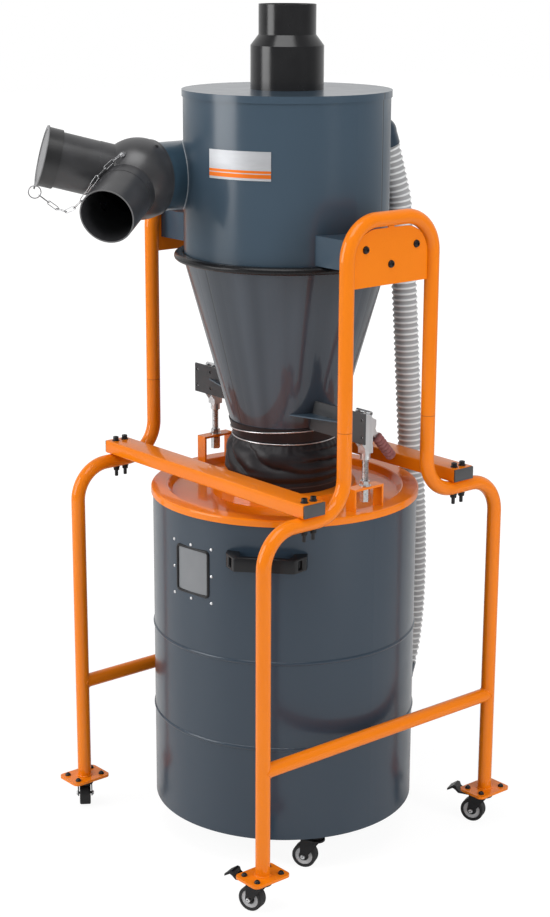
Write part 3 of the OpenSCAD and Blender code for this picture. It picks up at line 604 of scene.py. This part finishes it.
# Cyclone barrel: rolled sheet steel with a flanged lid and two mount boxes, in
# an anthracite enamel with a blue cast. Rolling leaves faint upright waves.
def anthracite(name, deep, light, wave=0.0012, streaks=7.0, seam=None, folds=None, blur=0.2):
    """Glossy dark enamel on rolled sheet, with a seam line or press folds if asked. Press folds
    also get painted shade: bands of their faces are tinted lighter and darker.
    """
    material, shader, spot = surface(
        name, Coat_Roughness=blur, IOR=1.5, Specular_IOR_Level=0.1
    )
    drift = spot.cloud(2.6, 4.0, (1, 1, 0.45))
    rolled = spot.cloud(streaks, 2.0, (1, 1, 0.12))
    tone = (0.7 * drift + 0.3 * rolled).tint(deep, light)
    height = wave * rolled
    if folds:
        around = spot.bearing() / math.radians(folds)
        # Painted shade: bands of folded faces are tinted lighter and darker, as if they faced the
        # light at different angles.
        painted_flat_shade = spot.node("CombineXYZ", {0: around, 2: 0.8 * spot.axis("Z")}).cloud(0.55, 1.0)
        tone = painted_flat_shade.ramp(0.3, 0.7).tint(deep, light)
        step = around.maths("FRACT", around)
        height = height + 0.0011 * (1 - abs(step - 0.5) * 2) ** 0.6
    if seam is not None:
        line = abs(spot.bearing() - math.radians(seam)).ramp(0.015, 0.006)
        tone = (0.75 * line).tint(tone, (0.012, 0.015, 0.018))
        height = height - 0.0008 * line
    spot.feed(shader["Base Color"], tone)
    spot.feed(shader["Roughness"], 0.27 + 0.14 * spot.cloud(24.0, 4.0))
    spot.feed(shader["Coat Weight"], 0.7 + 0.25 * drift)
    peel = spot.bump(spot.cloud(700.0, 2.0), 0.0002, 0.18)
    spot.feed(shader["Normal"], spot.bump(height, 1.0, 0.5, peel))
    return material


barrel_paint = anthracite(
    "barrel_paint", (0.035, 0.059, 0.085), (0.047, 0.076, 0.107), seam=24
)
dress(barrel_paint, "cyclone_barrel", "cyclone_lid", "mount_boxes")


# Label: a thin silver plate, bent to the barrel's round and stuck on its front.
# It is bare except for two plain orange stripes along its lower edge.
barrel_r = 0.2275
label_low, label_high = 1.549, 1.610
label_start, label_sweep = -86.4, 37.5
deselect()
bpy.ops.mesh.primitive_cylinder_add(
    vertices=192, radius=barrel_r + 0.0003, depth=label_high - label_low,
    end_fill_type="NOTHING", location=(0, 0, (label_low + label_high) / 2),
    rotation=(0, 0, math.radians(label_start)),
)
label = bpy.context.object
bpy.ops.object.transform_apply(location=True, rotation=True, scale=True)
bpy.ops.object.mode_set(mode="EDIT")
bpy.ops.mesh.select_mode(type="FACE")
bpy.ops.mesh.select_all(action="DESELECT")
bpy.ops.object.mode_set(mode="OBJECT")
for face in label.data.polygons:
    bearing = math.degrees(math.atan2(face.center.y, face.center.x))
    face.select = not label_start < bearing < label_start + label_sweep
bpy.ops.object.mode_set(mode="EDIT")
bpy.ops.mesh.delete(type="FACE")
bpy.ops.mesh.select_mode(type="VERT")
bpy.ops.object.mode_set(mode="OBJECT")
use_modifier(label, "SOLIDIFY", thickness=0.0009, offset=1)
smooth(label, 30)
label_silver, shader, spot = surface("label_silver", Metallic=0.55, IOR=1.5)
height = spot.axis("Z")


def stripe(low, high, blur=0.0002):
    """1 between two heights on the label, 0 elsewhere."""
    return height.ramp(low - blur, low + blur) * height.ramp(high + blur, high - blur)


wide, thin = stripe(1.5540, 1.5626), stripe(1.5645, 1.5700)
foil = spot.cloud(120.0, 4.0, (0.2, 0.2, 1)).tint((0.44, 0.45, 0.47), (0.56, 0.57, 0.59))
spot.feed(shader["Base Color"], (wide + thin).tint(foil, (0.78, 0.17, 0.010)))
spot.feed(shader["Roughness"], 0.38 + 0.12 * spot.cloud(60.0))
spot.feed(shader["Normal"], spot.bump(spot.cloud(500.0), 0.0001, 0.2))
fit_out(label, "bare_label", label_silver, "frame")


# Cone: sheet steel folded on a press into narrow flats and closed along a seam
# at the front. A black clamp ring holds it to the barrel's flange.
cone_paint = anthracite(
    "cone_paint", (0.027, 0.035, 0.047), (0.050, 0.061, 0.078), 0.0024, 9.0,
    seam=-90.7, folds=10, blur=0.09,
)
dress(cone_paint, "cone")
dress(barrel_paint, "cone_brackets")
dress(black_enamel, "clamp_ring")


# Inlet: a painted pipe welded into the barrel, and a branched moulding of satin
# black plastic on it. One branch is open, the other has a cap on a bright chain.
inlet_paint = anthracite("inlet_paint", (0.028, 0.056, 0.084), (0.039, 0.074, 0.106))
dress(inlet_paint, "inlet_pipe")
weld_pale = anthracite("weld_pale", (0.16, 0.19, 0.22), (0.30, 0.33, 0.36))
inlet_x, inlet_z, inlet_r = -0.1505, 1.536, 0.075
fork_centre = Vector((inlet_x, -0.295, inlet_z))
inlet_weld = []
for a in [2 * math.pi * k / 96 for k in range(96)]:
    x = inlet_x + inlet_r * math.cos(a)
    inlet_weld.append(
        Vector((x, -math.sqrt(barrel_r ** 2 - x * x) - 0.0004, inlet_z + inlet_r * math.sin(a)))
    )
fit_out(bead(inlet_weld, 0.0015, True), "inlet_weld", weld_pale, "frame")


def moulding_with_lit_end(name, direction, reach, deep, light, end_highlight):
    """Black plastic that turns to another colour past a distance along a branch: a painted
    highlight on the branch's end face.
    """
    material, shader, spot = surface(name, IOR=1.48, Specular_IOR_Level=0.8)
    mottle = spot.cloud(22.0, 5.0)
    along = spot.node(
        "VectorMath", {0: spot, 1: direction}, {"operation": "DOT_PRODUCT"}, output="Value"
    )
    end = (along - fork_centre.dot(Vector(direction))).ramp(reach - 0.0006, reach)
    black = mottle.tint(deep, light)
    spot.feed(shader["Base Color"], end.tint(black, end_highlight))
    spot.feed(shader["Roughness"], 0.2 + 0.26 * spot.cloud(34.0, 5.0, (1, 0.4, 1)))
    spot.feed(shader["Normal"], spot.bump(spot.cloud(520.0, 3.0), 0.0003, 0.25))
    return material


open_way, capped_way = (0.53137, -0.79864, -0.28254), (-0.4679, -0.848, 0.2488)
y_piece = node_copy("inlet_y_piece")
smooth(y_piece, 24)
# Painted highlight: the open branch's rim is tinted light grey.
y_moulding = moulding_with_lit_end(
    "y_moulding", open_way, 0.1994,
    (0.016, 0.016, 0.017), (0.046, 0.046, 0.050), (0.09, 0.09, 0.092),
)
fit_out(y_piece, "inlet_y_moulding", y_moulding, "frame")
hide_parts("inlet_y_piece")
# Painted highlight: the cap's flat face is tinted light grey.
cap_moulding = moulding_with_lit_end(
    "cap_moulding", capped_way, 0.2112,
    (0.008, 0.008, 0.009), (0.016, 0.016, 0.017), (0.16, 0.16, 0.165),
)
dress(cap_moulding, "branch_cap")
dress(bright_metal("chain_steel", (0.20, 0.20, 0.21), (0.62, 0.62, 0.63), 0.14), "cap_chain")
fork_screw = turned([(0.0042, -0.0008), (0.0042, 0.0006), (0.0034, 0.0022), (0.0014, 0.0030)])
ball_way, tab_way = Vector((49.0, 14.8, 72.8)), Vector((30.6, -64.4, 60.7))
ball_spot = fork_centre + 0.0892 * ball_way.normalized()
tab_spot = fork_centre + 0.0911 * tab_way.normalized()
fit_out(
    copies(fork_screw, [facing(ball_spot, ball_way)]),
    "ball_screw", black_steel, "frame",
)
set_in(fork_screw, [facing(tab_spot, tab_way)], "tab_screw", zinc, "frame")


# Outlet: a reducer of glossy black plastic, moulded in one piece. It stands on
# the middle of the cyclone's lid and takes a duct of 125 mm.
gloss_black = black_moulding("gloss_black", (0.008, 0.008, 0.009), (0.015, 0.015, 0.016), 0.12)
dress(gloss_black, "outlet_pipe")


# Toggle clamps: bright zinc push-pull clamps on grey plates, which hang on gussets
# of the cone. Each pulls a threaded rod up by a lever with a red grip.
plate_grey = black_moulding("plate_grey", (0.032, 0.034, 0.037), (0.048, 0.050, 0.053), 0.3)
dress(plate_grey, "clamp_plates")
dress(zinc, "toggle_bodies", "toggle_handle_left", "toggle_handle_right")
threaded_zinc, shader, spot = surface("threaded_zinc", Metallic=1.0)
left_rod, right_rod = (spot.from_axis((x, 0, 0), (0, 0, 1)) for x in (-0.255, 0.269))
rod = spot.maths("MINIMUM", left_rod, right_rod).ramp(0.0078, 0.0073)
thread_pitch = 0.002
turns_z = spot.axis("Z") * (2 * math.pi / thread_pitch)
thread = (spot.maths("SINE", turns_z) * 0.5 + 0.5) * rod
grime = spot.cloud(120.0, 4.0)
plated = grime.tint((0.44, 0.445, 0.45), (0.80, 0.805, 0.81))
# Painted shade: the thread's roots are tinted dark, as the grooves between its turns would look in
# shade.
spot.feed(shader["Base Color"], ((rod - thread) * 0.7).tint(plated, (0.10, 0.10, 0.105)))
spot.feed(shader["Roughness"], 0.18 + 0.2 * grime)
spot.feed(shader["Normal"], spot.bump(thread, 0.0008, 0.6))
dress(threaded_zinc, "toggle_rods")
grip_red, shader, spot = surface("grip_red", IOR=1.46)
grip_tone = spot.cloud(90.0, 4.0).tint((0.17, 0.058, 0.055), (0.27, 0.10, 0.098))
spot.feed(shader["Base Color"], grip_tone)
spot.feed(shader["Roughness"], 0.4 + 0.2 * spot.cloud(60.0))
spot.feed(shader["Normal"], spot.bump(spot.cloud(500.0), 0.0003, 0.3))
dress(grip_red, "toggle_grip_left", "toggle_grip_right")


# Drum: rolled sheet steel with beads, painted like the cyclone. A window with a
# rubber edge is riveted into its front, and a grab handle is screwed to its side.
drum_r = 0.303
drum_paint = anthracite("drum_paint", (0.019, 0.033, 0.051), (0.029, 0.046, 0.067))
dress(drum_paint, "drum_shell", "drum_base", "hose_ports")
gasket_rubber = black_moulding(
    "gasket_rubber", (0.004, 0.004, 0.005), (0.010, 0.010, 0.011), 0.3, shine=0.4
)
window_bearing, window_z = math.radians(-83), 0.692
window_out = Vector((math.cos(window_bearing), math.sin(window_bearing), 0))
window_across = Vector((-window_out.y, window_out.x, 0))
edge_half, edge_corner, edge_r = (0.0468, 0.0518), 0.007, 0.0032
edge_line = []
for k in range(96):
    a = 2 * math.pi * (k + 0.5) / 96
    u, v = (
        math.copysign(half - edge_corner, way) + edge_corner * way
        for half, way in zip(edge_half, (math.cos(a), math.sin(a)))
    )
    out = math.sqrt((drum_r + 0.0006) ** 2 - u * u)
    edge_line.append(out * window_out + u * window_across + Vector((0, 0, window_z + v)))
window_edge = guide_curve("window_edge", edge_line, True)
window_edge.data.bevel_depth = edge_r
window_edge.data.bevel_resolution = 4
take(window_edge)
bpy.ops.object.convert(target="MESH")
window_edge = bpy.context.object
smooth(window_edge, 60)
fit_out(window_edge, "window_edging", gasket_rubber, "frame")
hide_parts("window_gasket")
dress(black_moulding("pane_grey", (0.17, 0.178, 0.188), (0.21, 0.218, 0.228), 0.16), "window_pane")
handle_black = black_moulding(
    "handle_black", (0.005, 0.005, 0.006), (0.010, 0.010, 0.011), 0.16, shine=0.35
)
grab = node_copy("grab_handle")
round_edges(grab, lambda a, b: min(a.xy.length, b.xy.length) > drum_r + 0.007, 0.0022, 3)
smooth(grab, 32)
fit_out(grab, "grab_bow", handle_black, "frame")
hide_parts("grab_handle")
rivet = turned([(0.0035, -0.0006), (0.0035, 0.0005), (0.0030, 0.0016), (0.0017, 0.0023)], 16)
rivet_places = []
for bearing in (-94.4, -83.5, -72.5):
    for z in (0.752, 0.690, 0.628):
        if (bearing, z) != (-83.5, 0.690):
            out = Vector((math.cos(math.radians(bearing)), math.sin(math.radians(bearing)), 0))
            rivet_places.append(facing(drum_r * out + Vector((0, 0, z)), out))
rivet_white = bright_metal("rivet_alloy", (0.70, 0.70, 0.71), (0.88, 0.88, 0.89), 0.3)
set_in(rivet, rivet_places, "window_rivets", rivet_white, "frame")


# Drum lid: a pressed steel lid in the frame's orange with a rolled rim, and two
# angle brackets on it that the clamp rods pull up.
lid_orange = orange_gloss("lid_orange")
dress(lid_orange, "drum_lid", "lid_brackets")


# Sleeve: a tube of dark coated cloth between the cone's neck and the drum lid. Two
# wire bands tie its top. It hangs slack below them in slanting folds and swags.
def smooth_line(points, parts):
    """Points on a smooth line through the given ones, parts of it to each stretch."""
    points = [Vector(p) for p in points]
    line = []
    for i in range(len(points) - 1):
        before = points[max(i - 1, 0)]
        start, end = points[i], points[i + 1]
        after = points[min(i + 2, len(points) - 1)]
        for k in range(parts):
            t = k / parts
            line.append(
                0.5 * (
                    2 * start + (end - before) * t
                    + (2 * before - 5 * start + 4 * end - after) * t * t
                    + (3 * start - before - 3 * end + after) * t ** 3
                )
            )
    line.append(points[-1])
    return line


sleeve_top, sleeve_foot, sleeve_r = 0.990, 0.8425, 0.1287
sleeve_line = smooth_line(
    [
        (sleeve_r, 0, sleeve_top), (0.1192, 0, 0.956), (0.1201, 0, 0.949), (0.1320, 0, 0.924),
        (0.1340, 0, 0.885), (0.1315, 0, 0.864), (0.1296, 0, sleeve_foot),
    ],
    10,
)
front = math.radians(-40.7)


def step_up(value, low, high):
    share = min(max((value - low) / (high - low), 0), 1)
    return share * share * (3 - 2 * share)


def hump(value, middle, width):
    return math.exp(-(((value - middle) / width) ** 2))


def cloth_radius(a, z):
    """Radius of the cloth: its plain outline, the folds, and the roll over its hem."""
    plain = sleeve_line[-1].x
    for upper, lower in zip(sleeve_line, sleeve_line[1:]):
        if upper.z >= z >= lower.z:
            share = (upper.z - z) / max(upper.z - lower.z, 1e-9)
            plain = upper.x + (lower.x - upper.x) * share
            break
    loose = 0.25 * step_up(z, 0.866, 0.874) + 0.75 * step_up(z, 0.878, 0.898)
    slack = loose * (1 - step_up(z, 0.934, 0.950))
    round_it = Vector((1.7 * math.cos(a), 1.7 * math.sin(a), 16 * z))
    drift = noise.noise(round_it)
    slant = abs(math.sin(4.5 * (a - front) + z * math.pi / 0.056 + 1.7 * drift))
    swag = abs(math.sin(z * math.pi / 0.027 + 1.1 * math.sin(2 * (a - front)) + 1.8 * drift))
    right = step_up(math.sin(a - front), -0.1, 0.6)
    fold = (1 - right) * (slant ** 0.75 - 0.62) * 0.0105 + right * (swag ** 0.75 - 0.62) * 0.0085
    crease = 0.0012 * noise.noise(Vector((5 * math.cos(a), 5 * math.sin(a), 40 * z)))
    under_band = step_up(z, 0.925, 0.945) * (1 - step_up(z, 0.949, 0.952))
    gather = 0.0006 * math.sin(46 * a + 3 * drift) * under_band
    roll = 0.0030 * hump(z, 0.8790, 0.0065) - 0.0022 * hump(z, 0.8665, 0.0035)
    hem = 0.0007 * step_up(z, 0.8625, 0.8605)
    return plain + slack * (fold + crease) + gather + roll + hem


rows = 59
deselect()
bpy.ops.mesh.primitive_circle_add(
    vertices=240, radius=sleeve_r, fill_type="NOTHING", location=(0, 0, sleeve_top)
)
sleeve = bpy.context.object
bpy.ops.object.transform_apply(location=True, rotation=True, scale=True)
bpy.ops.object.mode_set(mode="EDIT")
bpy.ops.mesh.select_all(action="SELECT")
for row in range(rows):
    bpy.ops.mesh.extrude_region_move(
        TRANSFORM_OT_translate={"value": (0, 0, (sleeve_foot - sleeve_top) / rows)}
    )
bpy.ops.mesh.select_all(action="SELECT")
bpy.ops.mesh.normals_make_consistent(inside=False)
bpy.ops.object.mode_set(mode="OBJECT")
for vertex in sleeve.data.vertices:
    a = math.atan2(vertex.co.y, vertex.co.x)
    reach = cloth_radius(a, vertex.co.z)
    vertex.co.x, vertex.co.y = reach * math.cos(a), reach * math.sin(a)
outward = sum(
    face.normal.dot(Vector((face.center.x, face.center.y, 0))) for face in sleeve.data.polygons
)
if outward < 0:
    sleeve.data.flip_normals()
cloth_thickness = 0.0016
use_modifier(sleeve, "SOLIDIFY", thickness=cloth_thickness, offset=-1)
smooth(sleeve, 70)
coated_cloth, shader, spot = surface("coated_cloth", IOR=1.46, Specular_IOR_Level=0.4)
worn = spot.cloud(30.0, 5.0)
weave = spot.cloud(1600.0, 2.0)
stitch_z = 0.8560
hem_line = abs(spot.axis("Z") - stitch_z).ramp(0.0014, 0.0006)
tone = worn.tint((0.0065, 0.006, 0.0072), (0.0145, 0.0128, 0.0155))
spot.feed(shader["Base Color"], (0.4 * hem_line).tint(tone, (0.10, 0.08, 0.08)))
spot.feed(shader["Roughness"], 0.36 + 0.2 * worn)
spot.feed(shader["Normal"], spot.bump(weave, 0.0002, 0.25))
fit_out(sleeve, "sleeve_cloth", coated_cloth, "frame")
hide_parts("sleeve")
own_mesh(sleeve)
dress(bright_metal("band_wire", (0.74, 0.75, 0.76), (0.92, 0.92, 0.93), 0.2), "sleeve_bands")


# Balance hose: a grey corrugated plastic hose of 60 mm that hangs behind the
# unit and joins the barrel to the drum. Its ends sit in painted cuffs.
hose_heading = math.radians(78)
hose_route = [
    (257.5, 1590), (264, 1571), (281, 1510), (294, 1456), (306, 1340), (316, 1221),
    (327, 1060), (338, 900), (345, 815), (352, 732), (357, 620), (357, 540),
    (355, 478), (350, 420), (343, 370), (335, 340),
]
hose_line = smooth_line(
    [
        (r * math.cos(hose_heading) / 1000, r * math.sin(hose_heading) / 1000, z / 1000)
        for r, z in hose_route
    ],
    6,
)
hose_length = sum((b - a).length for a, b in zip(hose_line, hose_line[1:]))
rib_spacing = 0.0136
ribs = round(hose_length / rib_spacing)
rib_pitch = hose_length / ribs
rib_radii = [0.0264, 0.0266, 0.0274, 0.0292, 0.0300, 0.0292, 0.0274, 0.0266, 0.0264]
deselect()
bpy.ops.mesh.primitive_circle_add(vertices=40, radius=rib_radii[0], fill_type="NOTHING")
hose = bpy.context.object
bpy.ops.object.mode_set(mode="EDIT")
bpy.ops.mesh.select_all(action="SELECT")
for before, radius in zip(rib_radii, rib_radii[1:]):
    bpy.ops.mesh.extrude_region_move(
        TRANSFORM_OT_translate={"value": (0, 0, rib_pitch / (len(rib_radii) - 1))}
    )
    bpy.ops.transform.resize(
        value=(radius / before, radius / before, 1), center_override=(0, 0, 0)
    )
bpy.ops.mesh.select_all(action="SELECT")
bpy.ops.mesh.normals_make_consistent(inside=False)
bpy.ops.object.mode_set(mode="OBJECT")
along_rib = hose.data.uv_layers.new(name="rib")
for corner in hose.data.loops:
    place = hose.data.vertices[corner.vertex_index].co
    along_rib.data[corner.index].uv = (
        math.atan2(place.y, place.x) / (2 * math.pi) + 0.5, place.z / rib_pitch,
    )
use_modifier(
    hose, "ARRAY", count=ribs, use_relative_offset=False, use_constant_offset=True,
    constant_offset_displace=(0, 0, rib_pitch), use_merge_vertices=True, merge_threshold=0.0002,
)
hose_guide = guide_curve("hose_guide", hose_line)
use_modifier(hose, "CURVE", object=hose_guide, deform_axis="POS_Z")
bpy.data.objects.remove(hose_guide)
smooth(hose, 60)
hose_plastic, shader, spot = surface("hose_plastic", IOR=1.46, Specular_IOR_Level=0.4)
rib = spot.node("UVMap", {}, {"uv_map": "rib"}).axis("Y")
# Painted light: the top of each rib is painted pale as a painted highlight, and the hollows between
# ribs get painted shade.
crest_highlight = abs(rib - 0.5).ramp(0.24, 0.08)
dust = spot.cloud(14.0, 5.0)
valley_shade = dust.tint((0.30, 0.303, 0.307), (0.37, 0.373, 0.377))
spot.feed(shader["Base Color"], crest_highlight.tint(valley_shade, (0.74, 0.745, 0.75)))
spot.feed(shader["Roughness"], 0.34 + 0.2 * spot.cloud(60.0))
spot.feed(shader["Normal"], spot.bump(spot.cloud(420.0), 0.0002, 0.25))
fit_out(hose, "balance_hose_ribbed", hose_plastic, "frame")
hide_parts("balance_hose")
